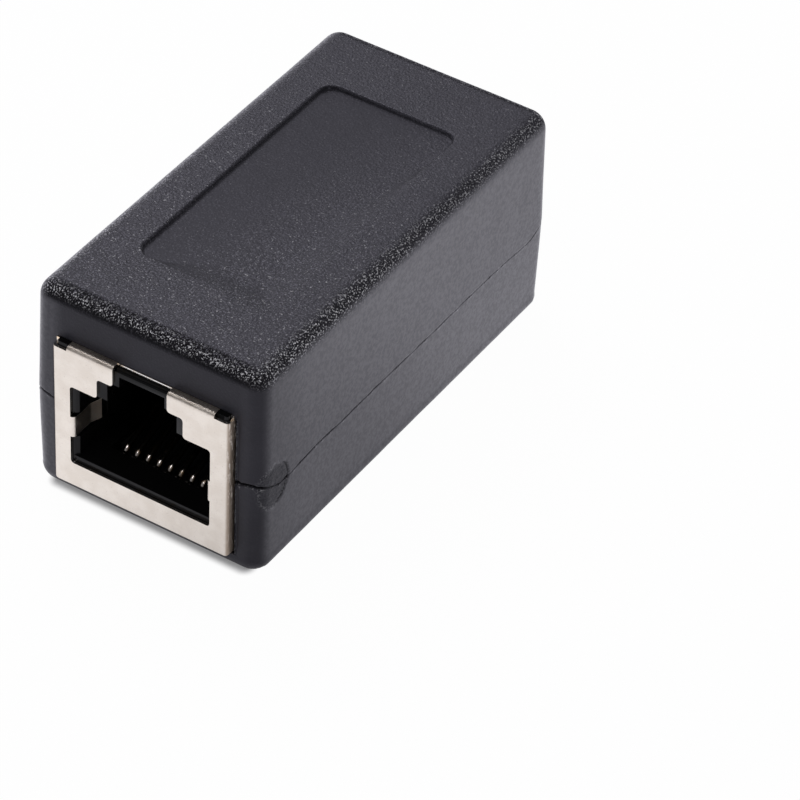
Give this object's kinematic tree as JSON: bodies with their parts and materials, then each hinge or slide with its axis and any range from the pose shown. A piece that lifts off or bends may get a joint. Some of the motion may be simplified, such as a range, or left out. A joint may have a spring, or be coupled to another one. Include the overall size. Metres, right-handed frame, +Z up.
{
  "type": "rj45 inline coupler",
  "caption": "Black moulded inline coupler with a shielded modular jack in each end, joining two network patch cables.",
  "frame": {"origin": "middle of the coupler's footprint, on the plane that it rests on", "axes": "+X across the width, +Y along the length from the front port to the rear port, +Z up, away from the base and towards the side with the label recess"},
  "size_m": [0.021, 0.0424, 0.0195],
  "materials": {
    "moulding": "charcoal black moulded plastic with a fine sparkle grain",
    "shield_metal": "satin nickel-plated sheet with bright cut edges",
    "insulator_plastic": "glossy black moulded plastic",
    "carrier_plastic": "black moulded plastic",
    "contact_gold": "gold-plated drawn wire",
    "board": "green lacquered glass-fibre board"
  },
  "bodies": {
    "root": {"moulded_body": "moulding", "circuit_board": "board", "front_shield": "shield_metal", "front_insulator": "insulator_plastic", "front_contact_carrier": "carrier_plastic", "front_contact_1": "contact_gold", "front_contact_2": "contact_gold", "front_contact_3": "contact_gold", "front_contact_4": "contact_gold", "front_contact_5": "contact_gold", "front_contact_6": "contact_gold", "front_contact_7": "contact_gold", "front_contact_8": "contact_gold", "rear_shield": "shield_metal", "rear_insulator": "insulator_plastic", "rear_contact_carrier": "carrier_plastic", "rear_contact_1": "contact_gold", "rear_contact_2": "contact_gold", "rear_contact_3": "contact_gold", "rear_contact_4": "contact_gold", "rear_contact_5": "contact_gold", "rear_contact_6": "contact_gold", "rear_contact_7": "contact_gold", "rear_contact_8": "contact_gold"}
  },
  "joints": []
}
